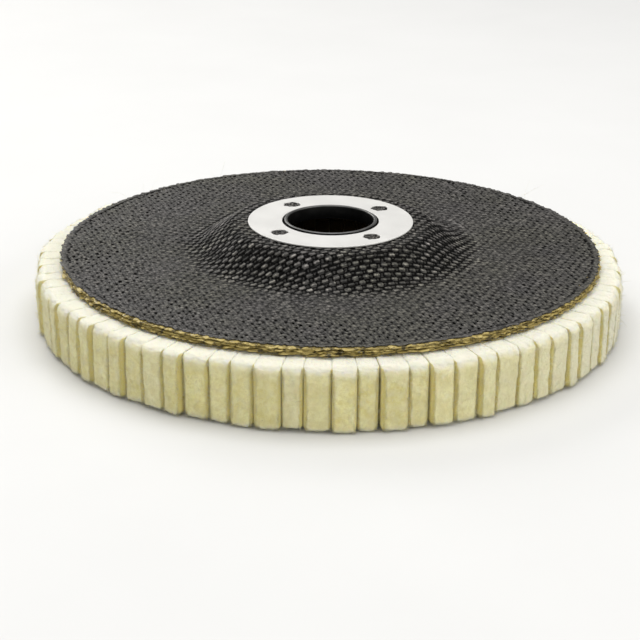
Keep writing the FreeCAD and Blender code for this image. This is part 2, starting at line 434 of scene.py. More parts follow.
def wool_felt():
    """Dense cream wool felt: matted fibres, paler on its edges and, as painted light, on its tops, brow
    and right-hand flaps. It is deep yellow between flaps, which is painted shade, and dark at the bead,
    from resin drawn in and painted shade.
    """
    n = Nodes("wool_felt")
    place = n.place()
    patch = n.noise(place, 2.8, 4)
    mottle = n.noise(place, 0.9, 3)
    fibre_a = n.noise(n.place((1, 1, 4.5)), 0.5, 3, 0.65)
    fibre_b = n.noise(n.place((4, 4, 0.9)), 0.6, 3, 0.65)
    cut_face = n.mix(n.ramp(patch, (0.34, 0), (0.66, 1)), (0.79, 0.72, 0.31), (0.95, 0.91, 0.50))
    dull = n.mix(n.ramp(mottle, (0.34, 0.5), (0.56, 0.0)), cut_face, (0.70, 0.62, 0.24))
    shaded = n.mix(1.0, dull, n.ramp(n.attribute("shade"), (0, (0.88, 0.87, 0.84)), (1, 1.0)), "MULTIPLY")
    matted = n.math("MULTIPLY", fibre_a, fibre_b)
    streaked = n.mix(n.ramp(matted, (0.13, 0.6), (0.27, 0.0)), shaded, (0.72, 0.64, 0.30))
    # Painted light: paler where the attribute pale marks the tops, the brow and the right-hand flaps.
    painted_light_and_pale = n.mix(n.attribute("pale"), streaked, (0.76, 0.745, 0.62))
    # Painted shade: deep yellow on the sides in the gaps between flaps.
    between = n.mix(n.attribute("between"), painted_light_and_pale, (0.80, 0.70, 0.26))
    # Dark within 1.2 mm of the inner end: resin drawn into the felt, and painted shade of the cavity under
    # the plate.
    colour = n.mix(n.attribute("soaked_and_shaded"), between, (0.12, 0.08, 0.03))
    relief = n.math("ADD", n.math("MULTIPLY", matted, 1.6), n.math("MULTIPLY", mottle, 0.8))
    n.bump(relief, 0.38, 0.8)
    n.shader.inputs["Subsurface Radius"].default_value = (1.0, 0.75, 0.35)
    n.shader.inputs["Subsurface Scale"].default_value = 0.8 * MM
    return n.set(Base_Color=colour, Roughness=0.95, Sheen_Weight=0.3, Sheen_Roughness=0.5,
                 Sheen_Tint=(1.0, 0.96, 0.85), Specular_IOR_Level=0.1, Subsurface_Weight=0.5)


def pale_floor():
    """A plain light table top."""
    n = Nodes("pale_floor")
    colour = n.mix(n.noise(n.place(), 60, 3), (0.60, 0.60, 0.595), (0.64, 0.64, 0.635))
    return n.set(Base_Color=colour, Roughness=0.7, Specular_IOR_Level=0.3)


MATERIALS = {
    "washer_steel": washer_steel(), "sleeve_steel": sleeve_steel(), "black_weave": black_weave(),
    "glass_fibre": glass_cloth(), "resin": cured_resin(), "felt": wool_felt(),
}


# ---------------------------------------------------------------- hub parts

PIERCED_CIRCLE = 16.5
PIERCED_RADIUS = 2.25
PIERCED_ANGLE = math.radians(38.3)
PIERCED_COUNT = 4


def circle_points(centre, radius, count, clockwise=False):
    """Points round a circle; radius is one number or one a point."""
    angle = np.arange(count) / count * TURN * (-1 if clockwise else 1)
    return np.column_stack([centre[0] + radius * np.cos(angle), centre[1] + radius * np.sin(angle)])


def pierced_centres():
    """The middles of the washer's pierced holes."""
    angles = PIERCED_ANGLE + np.arange(PIERCED_COUNT) * TURN / PIERCED_COUNT
    return [PIERCED_CIRCLE * np.array([math.cos(a), math.sin(a)]) for a in angles]


def make_washer():
    """The pressed ring: softly rounded edges and four pierced holes with torn, jagged rims."""
    inner, outer, low, high = node_span("hub_washer")
    bevel = 0.12
    curve = bpy.data.curves.new("washer_outline", "CURVE")
    curve.dimensions = "2D"
    curve.fill_mode = "BOTH"
    curve.extrude = ((high - low) / 2 - bevel) * MM
    curve.bevel_depth = bevel * MM
    curve.bevel_resolution = 3
    loops = [circle_points((0, 0), outer - bevel, 220), circle_points((0, 0), inner + bevel, 160, True)]
    random = np.random.default_rng(11)
    for centre in pierced_centres():
        count = 36
        tear = np.repeat(random.uniform(-0.35, 0.3, count // 2), 2) * random.uniform(0.5, 1, count)
        loops.append(circle_points(centre, PIERCED_RADIUS + bevel + tear, count, True))
    for loop in loops:
        spline = curve.splines.new("POLY")
        spline.points.add(len(loop) - 1)
        spline.points.foreach_set("co", np.column_stack([loop * MM, np.zeros((len(loop), 2))]).ravel())
        spline.use_cyclic_u = True
    holder = bpy.data.objects.new("washer_outline", curve)
    mesh = bpy.data.meshes.new_from_object(holder)
    bpy.data.objects.remove(holder)
    ring = mesh_vertices(mesh) + np.array([0, 0, (low + high) / 2])
    faces = [np.array([face.vertices[:] for face in mesh.polygons if len(face.vertices) == corners])
             for corners in (4, 3)]
    piece = build_piece("hub_washer_ring", ring, faces, "washer_steel", ["hub_washer"])
    piece.data.set_sharp_from_angle(angle=math.radians(35))


def make_sleeve():
    """The flanged bush with a rolled lip and eased flange edges."""
    vertices = node_vertices("arbor_sleeve")
    radius = radius_of(vertices)
    bore, flange, base, lip = node_span("arbor_sleeve")
    flange_top = np.unique(np.round(vertices[radius > flange - 0.1, 2], 3)).max()
    wall = radius[vertices[:, 2] > lip - 0.1].max()
    outline = rounded([
        (bore, base), (flange, base), (flange, flange_top), (wall, flange_top), (wall, lip), (bore, lip),
    ], [0.35, 0.3, 0.3, 0.2, 0.42, 0.44], 10)
    turned, quads = lathe(outline, 256)
    bulge = plan_noise(turned[:, 0], turned[:, 1], 4, 3) * 0.02
    turned[:, 2] += np.where(turned[:, 2] > lip - 1, bulge - 0.02, 0)
    # Painted shade: the bore's wall and the groove under the lip are made near black.
    in_bore = (radius_of(turned) < bore + 0.4) * unit((lip - 0.25 - turned[:, 2]) / 0.3)
    under_lip = (radius_of(turned) > wall - 0.2) * unit((lip - 0.16 - turned[:, 2]) / 0.1)
    under_lip *= turned[:, 2] > flange_top + 0.5
    build_piece("arbor_sleeve_turned", turned, [quads], "sleeve_steel", ["arbor_sleeve"],
                {"painted_shade": np.maximum(in_bore, under_lip)})


# ---------------------------------------------------------------- woven plies

YARNS = 512  # the yarns of each family that differ from each other


@dataclass
class Cloth:
    """A plain weave, in mm.

    The yarns that run along the turn direction ride proud by offset, and the others lie lower by it.
    cover is a yarn's width as a share of the pitch. resin is the level of the resin between the
    yarns, and press the level that the mould flattened the cloth to, as shares of its full relief.
    hollow is the depth of the dips beside the floats, and thickness the most that anything dips.
    """

    pitch: float
    turn_degrees: float
    crimp: float
    bulge: float
    offset: float
    cover: float
    resin: float
    press: float
    hollow: float
    thickness: float
    seed: int

    def __post_init__(self):
        self.turn = math.radians(self.turn_degrees)
        random = np.random.default_rng(self.seed)
        self.yarn_shift = random.normal(0, 0.05, (2, YARNS))
        self.yarn_width = random.normal(1, 0.06, (2, YARNS))
        self.knot_height = random.normal(1, 0.2, (YARNS, YARNS))
        self.hollow_depth = np.clip(random.normal(1.0, 0.22, (YARNS, YARNS)), 0.5, 1.6)
        self.hollow_shift = random.normal(0, 0.10, (2, YARNS, YARNS))

    def yarn_coordinates(self, x, y):
        """Places counted in yarns, along and across the cloth, with the slight wander of the yarns."""
        wander_x = plan_noise(x, y, 11, self.seed) * 0.16 * self.pitch
        wander_y = plan_noise(x, y, 11, self.seed + 5) * 0.16 * self.pitch
        c, s = math.cos(self.turn), math.sin(self.turn)
        u = (x * c + y * s + wander_x) / self.pitch
        v = (-x * s + y * c + wander_y) / self.pitch
        return u, v

    def relief(self, x, y, flatness):
        """Height under the tallest floats, depth as a share of the relief, and yarn coordinates.

        flatness 1 is cloth pressed flat against the mould, 0 is cloth that stood free of it.
        """
        u, v = self.yarn_coordinates(x, y)
        loose = 1 - flatness
        surfaces, knots = [], []
        for family, (run, place) in enumerate(((u, v), (v, u))):
            yarn = np.floor(place).astype(int)
            crossing = np.floor(run).astype(int)
            offset = place - yarn - 0.5 - self.yarn_shift[family][yarn % YARNS]
            width = self.cover * self.yarn_width[family][yarn % YARNS] * (1 - (0.62, 0.55)[family] * loose)
            side = np.where((yarn + family) % 2 == 0, 1.0, -1.0)
            knot = self.knot_height[yarn % YARNS, crossing % YARNS]
            proud = 1 - 2 * family
            wave = np.tanh(2 * (np.sin(math.pi * run) * side + 0.4 * loose * proud))
            crown = np.sqrt(unit(1 - np.abs(2 * offset / width) ** (2.6 - 0.6 * loose)))
            height = (self.crimp * wave * (knot + 0.4 * loose * (1 - knot)) + self.bulge * crown)
            height *= 1 + 0.4 * loose
            height += self.offset * (0.3 + 1.7 * loose) * proud
            surfaces.append((height, run, offset, yarn + 700.0 * family))
            knots.append(knot)
        first_wins = surfaces[0][0] > surfaces[1][0]
        top, run, offset, label = (np.where(first_wins, a, b) for a, b in zip(*surfaces))
        peak = self.crimp + self.bulge + self.offset
        level = (self.resin + plan_noise(x, y, 2.5, self.seed + 9) * 0.10 - 0.15 * loose) * peak
        soft = 0.05 * peak
        top = soft * np.logaddexp(top / soft, level / soft)
        ceiling = peak * (1.5 - (1.5 - self.press) * flatness)
        top = -soft * np.logaddexp(-top / soft, -ceiling / soft)
        top -= self.hollows(u, v, loose) * (1 + 0.5 * loose) * (1 - 0.8 * first_wins * loose)
        top -= 0.075 * flatness * np.exp(-((np.abs(offset) - 0.5) / 0.11) ** 2)
        top -= 0.08 * loose * np.clip(1 - np.where(first_wins, knots[0], knots[1]), -0.2, 1)
        # The cloth materials turn this depth into painted shade: the deeper, the darker.
        depth = 0.2 * flatness + (ceiling - top) / (peak * (1.3 - 0.1 * loose))
        yarns = np.column_stack([run * self.pitch, offset * self.pitch, label])
        return np.maximum(top - peak, -self.thickness), unit(depth), yarns

    def hollows(self, u, v, loose):
        """The dips beside the floats: deep on the low knot between each pair, faint on the others."""
        column, row = np.floor(u).astype(int), np.floor(v).astype(int)
        low = (column + row) % 2 == 1
        cell = column % YARNS, row % YARNS
        depth = self.hollow_depth[cell]
        shift_u, shift_v = (shift[cell] for shift in self.hollow_shift)
        across = (u - column - 0.5 - shift_u) / (0.21 + 0.17 * loose)
        along = (v - row - 0.56 - 0.12 * loose - shift_v) / (0.42 - 0.12 * loose)
        return self.hollow * depth * np.where(low, 1, 0.45) * np.exp(-across ** 2 - along ** 2)


def woven_sheet(node, upper, cloth, step, ragged, extra=None):
    """A dished ply with real woven relief on its upper or lower face, closed by a plain back."""
    radii, heights = node_face_profile(node, upper)
    back_radii, back_heights = node_face_profile(node, not upper)
    inner, outer = radii[0], radii[-1]
    side = 1 if upper else -1
    reach = int(outer / step) + 2
    ticks = np.arange(-reach, reach + 1) * step
    u, v = np.meshgrid(ticks, ticks, indexing="ij")
    centre = np.hypot(u[:-1, :-1] + step / 2, v[:-1, :-1] + step / 2)
    kept = ((centre > inner + step / 2) & (centre < outer - step / 2)).ravel()
    cells = grid_quads(len(ticks), len(ticks))[kept]
    used, cells = np.unique(cells, return_inverse=True)
    cells = cells.reshape(-1, 4)
    u, v = u.ravel()[used], v.ravel()[used]
    c, s = math.cos(cloth.turn), math.sin(cloth.turn)
    x, y = u * c - v * s, u * s + v * c

    count = len(used)
    edges = np.concatenate([cells[:, [k, (k + 1) % 4]] for k in range(4)])
    forward, backward = edges[:, 0] * count + edges[:, 1], edges[:, 1] * count + edges[:, 0]
    rim = np.unique(edges[~np.isin(forward, backward)].ravel())
    radius = np.hypot(x, y)
    outer_rim, inner_rim = rim[radius[rim] > (inner + outer) / 2], rim[radius[rim] < (inner + outer) / 2]
    wobble = (plan_noise(x[outer_rim], y[outer_rim], 1.6, 2)
              + plan_noise(x[outer_rim], y[outer_rim], 0.7, 3)) * 0.7 * ragged
    for ring, target in ((outer_rim, outer - ragged + wobble), (inner_rim, inner)):
        pull = target / radius[ring]
        x[ring], y[ring] = x[ring] * pull, y[ring] * pull
    radius = np.hypot(x, y)

    slope = np.gradient(heights, radii)
    slope_here = np.interp(radius, radii, slope)
    normal_up = 1 / np.hypot(1, slope_here)
    normal_out = -slope_here * normal_up
    flatness = unit(1 - np.abs(slope_here) / 0.45) * np.interp(radius, (36, 40), (0.6, 1))
    run = np.concatenate([[inner], inner + np.cumsum(np.hypot(np.diff(radii), np.diff(heights)))])
    draped = np.interp(radius, radii, run) / radius
    height, depth, yarn = cloth.relief(x * draped, y * draped, flatness)
    if extra is not None:
        height = height + extra(x, y, radius)
    lift = height * side
    face = np.column_stack([
        x + normal_out * lift * x / radius,
        y + normal_out * lift * y / radius,
        np.interp(radius, radii, heights) + normal_up * lift,
    ])

    segments = 240
    back_angle = (np.arange(segments) + 0.5) / segments * TURN - math.pi
    rings = back_radii[(back_radii > inner + 1) & (back_radii < outer - 0.4)]
    rings = np.concatenate([[inner + 0.6], rings, [outer - 0.8]])
    back_levels = np.interp(rings, back_radii, back_heights)
    back = revolve(rings, back_levels, back_angle).transpose(1, 0, 2).reshape(-1, 3)
    groups = [cells]
    vertices = [face]
    start = count
    for ring, nearest in ((outer_rim, len(rings) - 1), (inner_rim, 0)):
        angle = np.arctan2(y[ring], x[ring])
        order = np.argsort(angle)
        ordered, angle = ring[order], angle[order]
        lower = face[ordered].copy()
        lower[:, 2] = np.interp(radius[ordered], back_radii, back_heights)
        vertices.append(lower)
        lower_ids = start + np.arange(len(ordered))
        following, lower_following = np.roll(ordered, -1), np.roll(lower_ids, -1)
        wall = np.column_stack([ordered, lower_ids, lower_following, following])
        back_ids = count + len(outer_rim) + len(inner_rim) + nearest * segments + np.arange(segments)
        closing = stitch(lower_ids, angle, back_ids, back_angle)
        if nearest == 0:
            wall, closing = wall[:, ::-1], closing[:, ::-1]
        groups += [wall, closing]
        start += len(ordered)
    vertices.append(back)
    groups.append(grid_quads(len(rings), segments, False, True)[:, ::-1] + start)
    if not upper:
        groups = [group[:, ::-1] for group in groups]
    vertices, faces = join_parts([(np.concatenate(vertices), groups)])
    depths = np.concatenate([depth, np.full(len(vertices) - count, 0.5)])
    yarns = np.concatenate([yarn, vertices[count:] * np.array([1, 1, 3.0])])
    return vertices, faces, depths, yarns


LOWEST_PLY = list(GLASS_PLIES)[-1]
# The stack was trimmed unevenly: the plies stand out and the facing back most towards the first
# direction, and the other way round towards the second.
UNEVEN_TRIM_SIDE = math.radians(250)
FLUSH_TRIM_SIDE = math.radians(180)
PLY_SKEW = 0.5
FACING_SKEW = -0.4
FACING_CLOTH = Cloth(pitch=1.5, turn_degrees=20, crimp=0.12, bulge=0.12, offset=0.05, cover=1.08,
                     resin=0.34, press=0.62, hollow=0.26, thickness=0.42, seed=21)


def pierced_share(x, y):
    """How far each place lies inside a pierced hole, where the cloth swells up into the washer."""
    distance = np.min([np.hypot(x - cx, y - cy) for cx, cy in pierced_centres()], axis=0)
    return unit((PIERCED_RADIUS + 0.1 - distance) / 0.45)


def plate_unevenness(x, y, radius):
    """The moulded plate's small dents, the faint crease round the dish and the swollen cloth."""
    crease = -0.10 * np.exp(-((radius - 38.2) / 0.7) ** 2)
    dents = plan_noise(x, y, 14, 4) * 0.10
    rough = plan_noise(x, y, 0.6, 5) * 0.16
    return crease + dents + pierced_share(x, y) * (0.36 + rough)


def make_facing():
    """The black ply, with its cut yarns standing out unevenly round the rim."""
    vertices, faces, depths, yarns = woven_sheet("facing_ply", upper=True, cloth=FACING_CLOTH, step=0.25,
                                                 ragged=0.38, extra=plate_unevenness)
    radii, heights = node_face_profile("facing_ply", True)
    hole_edge = radii[0] + 0.7
    # Painted shade: the cloth within about 0.7 mm of the hole, the floor of the groove round the lip, is
    # made darkest.
    depths = np.maximum(depths, unit((hole_edge - radius_of(vertices)) / 0.2))
    x, y, top = vertices[:, 0], vertices[:, 1], heights[-1]
    # Painted highlight: the crease round the dish is made paler towards the right and the back, where the
    # light catches it.
    painted_crease_highlight = np.exp(-((radius_of(vertices) - 38.9) / 0.4) ** 2) * unit(x / 30 + y / 60)
    depths -= painted_crease_highlight * (0.12 + 0.2 * plan_noise(x, y, 2.0, 7))
    swollen = pierced_share(x, y) * (vertices[:, 2] > top)
    depths += swollen * (0.42 + 0.8 * plan_noise(x, y, 0.45, 6) - depths)
    ends = rim_yarns(top - 0.36, top - 0.06, radii[-1] - 0.25, FACING_CLOTH, seed=60, inward=1.6,
                     ragged=0.35)
    vertices, faces = join_parts([(vertices, faces), ends[:2]])
    skew_rim(vertices, radii[-1], FACING_SKEW)
    build_piece("facing_weave", vertices, faces, "black_weave", ["facing_ply"], {
        "depth": np.concatenate([unit(depths), 0.3 + ends[2] * 0.5]),
        "yarn": np.concatenate([yarns, ends[3]]),
    })


def rim_yarns(low, high, outer, cloth, seed, inward, ragged):
    """The yarns that show round one ply's cut edge: tubes that cross over and under each other."""
    random = np.random.default_rng(seed)
    pitch, inside = cloth.pitch, outer - inward
    middle, amplitude = (low + high) / 2, (high - low) * 0.20
    half_width, half_height = 0.43 * pitch, (high - low) * 0.34
    sides, spacing = 10, 0.35
    parts, depths, yarns = [], [], []
    for family in range(2):
        heading = cloth.turn + math.pi / 2 * family
        along = np.array([math.cos(heading), math.sin(heading), 0])
        aside = np.array([-along[1], along[0], 0])
        reach = int(outer / pitch) + 1
        for yarn in range(-reach, reach + 1):
            offset = (yarn + 0.5) * pitch + random.normal(0, 0.05) * pitch
            if abs(offset) > outer - 0.35:
                continue
            far = math.sqrt(outer ** 2 - offset ** 2)
            near = math.sqrt(inside ** 2 - offset ** 2) if abs(offset) < inside else None
            spans = [(-far, far)] if near is None else [(-far, -near), (near, far)]
            for start, end in spans:
                start, end = start + random.uniform(-ragged, ragged), end + random.uniform(-ragged, ragged)
                rings = max(5, int((end - start) / spacing))
                run = np.linspace(start, end, rings)
                wave = np.sin(math.pi * run / pitch) * (1 if (yarn + family) % 2 else -1)
                sway = plan_noise(run, np.full(rings, offset), 5, seed + family) * 0.1 * pitch
                centres = run[:, None] * along + (offset + sway)[:, None] * aside
                centres[:, 2] += middle + amplitude * wave
                swell = 1 + 0.16 * plan_noise(run, np.full(rings, offset), 1.7, seed + 3)
                swell[[0, -1]] *= 0.55
                across = aside * half_width * swell[:, None]
                up = np.array([0, 0, half_height]) * swell[:, None]
                part = tubes(centres[None], across[None], up[None], sides)
                parts.append(part)
                around = np.tile(np.arange(sides) / sides * 6, rings)
                length = np.repeat(run, sides)
                label = np.full(rings * sides, yarn + 300.0 * family)
                cap = [[start, 0, yarn], [end, 0, yarn]]
                yarns.append(np.concatenate([np.column_stack([length, around, label]), cap]))
                # Painted shade: each yarn darkens the further it lies in from the cut edge.
                depths.append(np.clip((outer - 0.9 - radius_of(part[0])) / 0.8, 0, 0.8))
    vertices, faces = join_parts(parts)
    return vertices, faces, np.concatenate(depths), np.concatenate(yarns)


def frayed_fibres(low, high, outer, count, seed):
    """Loose glass fibres that lie along a ply's cut edge, as straw-like strokes."""
    random = np.random.default_rng(seed)
    rings, sides = 9, 4
    centre_angle = random.uniform(0, TURN, count)
    reach = random.uniform(1.2, 4.5, count) / outer
    share = np.linspace(-0.5, 0.5, rings)
    angle = centre_angle[:, None] + reach[:, None] * share
    radius = outer + random.uniform(-0.2, 0.2, count)[:, None] - 0.5 * np.abs(share) ** 2
    level = random.uniform(low, high, count)[:, None]
    slant = random.normal(0, 0.22, count)[:, None] * share
    height = np.clip(level + slant + 0.05 * np.sin(9 * share + centre_angle[:, None]), low, high)
    centres = np.stack([radius * np.cos(angle), radius * np.sin(angle), height], axis=-1)
    thick = random.uniform(0.05, 0.13, count)[:, None] * (1 - 1.2 * share ** 2)
    outward = np.stack([np.cos(angle), np.sin(angle), np.zeros_like(angle)], axis=-1)
    across = outward * thick[:, :, None]
    up = np.zeros_like(across)
    up[:, :, 2] = thick
    vertices, faces = tubes(centres, across, up, sides)
    tone = np.clip(random.normal(0.1, 0.25, count), 0, 0.9)
    per_fibre = rings * sides + 2
    yarn = np.column_stack([vertices[:, 0], vertices[:, 1], np.repeat(centre_angle * 50, per_fibre)])
    return vertices, faces, np.repeat(tone, per_fibre), yarn


def skew_rim(vertices, rim, amount):
    """Move a ply's cut edge out by amount on the unevenly trimmed side, and back on the flush one."""
    radius = radius_of(vertices)
    azimuth = np.arctan2(vertices[:, 1], vertices[:, 0])
    swing = amount * unit(np.cos(azimuth - UNEVEN_TRIM_SIDE)) ** 2
    swing -= 0.8 * amount * unit(np.cos(azimuth - FLUSH_TRIM_SIDE)) ** 8
    share = unit((radius - rim + 2.5) / 2)
    vertices[:, :2] *= (1 + swing * share / radius)[:, None]


def make_glass_ply(index, node, turn_degrees, trimmed, hang):
    """One natural ply: a resin-filled body, the yarns at its cut edge and the fibres frayed from it."""
    outer = node_span(node)[1]
    upper_radii, upper_heights = node_face_profile(node, True)
    lower_radii, lower_heights = node_face_profile(node, False)
    setback, sunk = 0.55, 0.2
    top, bottom = upper_heights[-1], lower_heights[-1]
    rim = outer - trimmed
    cloth = Cloth(pitch=2.3, turn_degrees=turn_degrees, crimp=0.12, bulge=0.13, offset=0.02, cover=0.92,
                  resin=0.3, press=0.9, hollow=0.06, thickness=0.4, seed=40 + index)
    edge = rim_yarns(bottom, top, rim, cloth, seed=40 + index, inward=3.0, ragged=0.16)
    loose = frayed_fibres(bottom - hang, top - 0.1, rim, count=480, seed=140 + index)

    if node == LOWEST_PLY:
        body, faces, body_depths, body_yarns = woven_sheet(node, upper=False, cloth=cloth, step=0.46,
                                                           ragged=setback)
    else:
        keep_upper = upper_radii < outer - setback
        keep_lower = lower_radii < outer - setback
        step = outer - setback
        outline = np.concatenate([
            np.column_stack([lower_radii[keep_lower], lower_heights[keep_lower]]),
            [[step, bottom], [step, top - sunk]],
            np.column_stack([upper_radii[keep_upper], upper_heights[keep_upper] - sunk])[::-1],
        ])
        body, quads = lathe(outline, 360)
        faces = [quads]
        # Painted shade: the sunk body, seen between the rim yarns, is darkened.
        body_depths = np.full(len(body), 0.6)
        body_yarns = body * np.array([1, 1, 3.0])
    vertices, all_faces = join_parts([(body, faces), edge[:2], loose[:2]])
    skew_rim(vertices, outer, PLY_SKEW)
    build_piece(f"{node}_cloth", vertices, all_faces, "glass_fibre", [node], {
        "depth": np.concatenate([body_depths, edge[2], loose[2]]),
        "yarn": np.concatenate([body_yarns, edge[3], loose[3]]),
    })


def make_resin():
    """The bond line and the uneven bead round the flaps' inner ends."""
    inner, outer, low, high = node_span("adhesive_bed")
    vertices = node_vertices("adhesive_bed")
    radius = radius_of(vertices)
    felt_top = vertices[radius > outer - 0.1, 2].min()
    wall = radius[vertices[:, 2] < low + 0.05].max()
    foot = radius[vertices[:, 2] < low + 0.05].min()
    slope = [((1 - t) ** 1.6 * (foot - inner) + inner, low + t ** 1.6 * (felt_top - low))
             for t in np.linspace(0, 1, 9)]
    outline = np.array([(wall, low)] + slope + [(inner, high)]
                       + [(r, high) for r in np.linspace(inner + 2, outer, 12)]
                       + [(outer, felt_top), (wall, felt_top)])
    ring, quads = lathe(outline[::-1], 720)
    here = radius_of(ring)
    bead = unit((wall + 0.01 - here) / 1.0) * (ring[:, 2] < high - 0.05)
    swell = (plan_noise(ring[:, 0], ring[:, 1], 5, 6) * 0.5
             + plan_noise(ring[:, 0], ring[:, 1], 1.6, 7) * 0.2)
    edge = (here > outer - 0.05) * (plan_noise(ring[:, 0], ring[:, 1], 2.2, 8) * 0.4 - 0.9)
    ring[:, :2] *= (1 - (bead * swell - edge) / here)[:, None]
    build_piece("adhesive_bead", ring, [quads], "resin", ["adhesive_bed"])


# ---------------------------------------------------------------- felt

# How far a flap's edges are rounded: the outer end's top, sides and foot, then the foot's and top's sides.
BROW_ROUND = 2.3
CORNER_ROUND = 0.7
FOOT_ROUND = 1.3
EDGE_ROUND = 1.3
TOP_EDGE_ROUND = 0.45
# Neighbouring flaps press together within this distance of the top, by no more than this on each side.
SQUEEZED_BAND = 3.5
WIDEST_CLOSING = 0.45
# The felt's lumps: their size, how far they stand out, and their seed.
LUMPS = ((3.6, 0.16, 1), (1.3, 0.12, 2), (0.55, 0.09, 3))
# Nap, fluff and bridges: how many hairs on a flap, their usual length, its spread, and their thickness.
COATS = ((480, 0.55, 0.45, 0.034), (50, 0.6, 0.4, 0.02), (400, 0.5, 0.3, 0.03))
# Wisps of wool that stand out far from the felt: the flap that each one grows from and its length.
WISPS = ((2, 9.0), (9, 9.0), (9, 6.0), (15, 6.0), (27, 5.0), (31, 7.0), (33, 8.0))


def stations(length, fine_from, coarse, fine):
    """Positions along one side of a block: close together near both ends and past fine_from."""
    ends = np.array([0, 0.14, 0.32, 0.55])
    middle = np.concatenate([np.arange(0.9, fine_from, coarse),
                             np.arange(max(fine_from, 0.9), length - 0.75, fine)])
    return np.concatenate([ends, middle, length - ends[::-1]])


def block_surface(lengths, breadths, heights):
    """Vertices and quads of a closed block whose faces carry a grid of the given positions."""
    groups, quads, start = [], [], 0
    axes = (lengths, breadths, heights)
    for fixed in range(3):
        first, second = [axis for axis in range(3) if axis != fixed]
        for end in (0, -1):
            a, b = np.meshgrid(axes[first], axes[second], indexing="ij")
            points = np.empty((a.size, 3))
            points[:, first], points[:, second] = a.ravel(), b.ravel()
            points[:, fixed] = axes[fixed][end]
            cells = grid_quads(len(axes[first]), len(axes[second]))
            if (end == 0) == (fixed != 1):
                cells = cells[:, ::-1]
            groups.append(points)
            quads.append(cells + start)
            start += len(points)
    points, index = np.unique(np.round(np.concatenate(groups), 5), axis=0, return_inverse=True)
    return points, index.ravel()[np.concatenate(quads)]


def flap_plan(points, which, angle):
    """One flap's radial stations, and the offsets of its right and left sides there, in its frame.

    points are the vertices of a node whose flaps stand side by side, and which counts along them.
    """
    c, s = math.cos(angle), math.sin(angle)
    along = points[:, 0] * c + points[:, 1] * s
    aside = -points[:, 0] * s + points[:, 1] * c
    band = np.round(np.hypot(along, aside))
    stops, right, left = np.unique(band), [], []
    for stop in stops:
        here = band == stop
        turns = np.sort(np.arctan2(aside[here], along[here]))
        corners = turns[np.concatenate([[True], np.diff(turns) > 3e-4])]
        right.append(stop * math.tan(corners[2 * which]))
        left.append(stop * math.tan(corners[2 * which + 1]))
    return stops, np.array(right), np.array(left)


def felt_fibres(root, out, random, length, thickness, curl_share=0.45, rings=4):
    """Fine wool hairs that stand off the felt's surface and curl."""
    count = len(root)
    lean = random.normal(size=(count, 3))
    lean /= np.linalg.norm(lean, axis=1, keepdims=True)
    direction = out * 0.8 + lean
    direction /= np.linalg.norm(direction, axis=1, keepdims=True)
    curl = np.cross(direction, random.normal(size=(count, 3)))
    curl /= np.linalg.norm(curl, axis=1, keepdims=True)
    share = np.linspace(0, 1, rings)
    centres = (root[:, None] + direction[:, None] * (length[:, None] * share)[:, :, None]
               + curl[:, None] * (length[:, None] * curl_share * share ** 2)[:, :, None])
    centres[:, :, 2] = np.maximum(centres[:, :, 2], 0.03)
    thick = thickness * (1 - 0.6 * share)
    across = np.cross(direction, curl)[:, None] * thick[:, None]
    up = curl[:, None] * thick[:, None]
    return tubes(centres, across, up, 3)


def ease_edge(points, first, second, radius):
    """Round the edge where two faces of a block meet: each face is its axis and its place on it."""
    (axis_a, face_a), (axis_b, face_b) = first, second
    sign_a, sign_b = np.sign(face_a), np.sign(face_b)
    a = unit((points[:, axis_a] * sign_a - (abs(face_a) - radius)) / radius)
    b = unit((points[:, axis_b] * sign_b - (abs(face_b) - radius)) / radius)
    points[:, axis_a] += sign_a * radius * (a * np.sqrt(1 - b ** 2 / 2) - a)
    points[:, axis_b] += sign_b * radius * (b * np.sqrt(1 - a ** 2 / 2) - b)


def round_block(points, end, side, top, brow, corner):
    """Round the edges of a block that is centred on its origin, all but those at its inner end."""
    ease_edge(points, (0, end), (2, top), brow)
    ease_edge(points, (0, end), (2, -top), FOOT_ROUND)
    for flank in (-side, side):
        ease_edge(points, (0, end), (1, flank), corner)
        ease_edge(points, (2, top), (1, flank), TOP_EDGE_ROUND)
        ease_edge(points, (2, -top), (1, flank), EDGE_ROUND)


def half_gaps(plans):
    """Half of the gap beside each flap's right and left sides at its outer end, in mm."""
    reach = plans[0][0][-1]
    step = TURN / len(plans) * reach
    right, left = (np.array([plan[side][-1] for plan in plans]) for side in (1, 2))
    after = (np.roll(right, -1) + step - left) / 2
    return np.column_stack([np.roll(after, 1), after])


def plain_flap(plan, end, height, lean, random):
    """A cut block in its own frame, with each vertex's radius, level, freedom and middle line.

    X runs outward, Y aside and Z up from the foot. The edges are rounded, the foot narrows, and the
    block leans a little in or out. Freedom is 0 where the resin holds the block and 1 outside it.
    """
    stops, right, left = plan
    inner, pinch = stops[:2]
    length = end - inner
    along = BLOCK_POINTS[:, 0] * length / BLOCK_LENGTH
    level = BLOCK_POINTS[:, 2] * height / BLOCK_HEIGHT
    radial = inner + along
    free = unit((radial - pinch + 3) / 4)
    low, high = np.interp(radial, stops, right), np.interp(radial, stops, left)
    half = (high - low) / 2
    side = half.min()
    widths = half / side
    shape = np.column_stack([along - length / 2, BLOCK_POINTS[:, 1] * half, level - height / 2])
    shape[:, 1] /= widths
    brow = BROW_ROUND * random.uniform(0.75, 1.15)
    corner = CORNER_ROUND * random.uniform(0.75, 1.25)
    round_block(shape, length / 2, side, height / 2, brow, corner)
    shape[:, 1] *= widths
    shape += np.array([inner + length / 2, 0, height / 2])
    shape[:, 1] *= 1 - 0.1 * unit(1 - level / 2.5) ** 2 * free
    shape[:, 0] += 0.9 * (lean - 0.5) * (0.5 - level / height) * free
    return shape, radial, level, free, (high + low) / 2


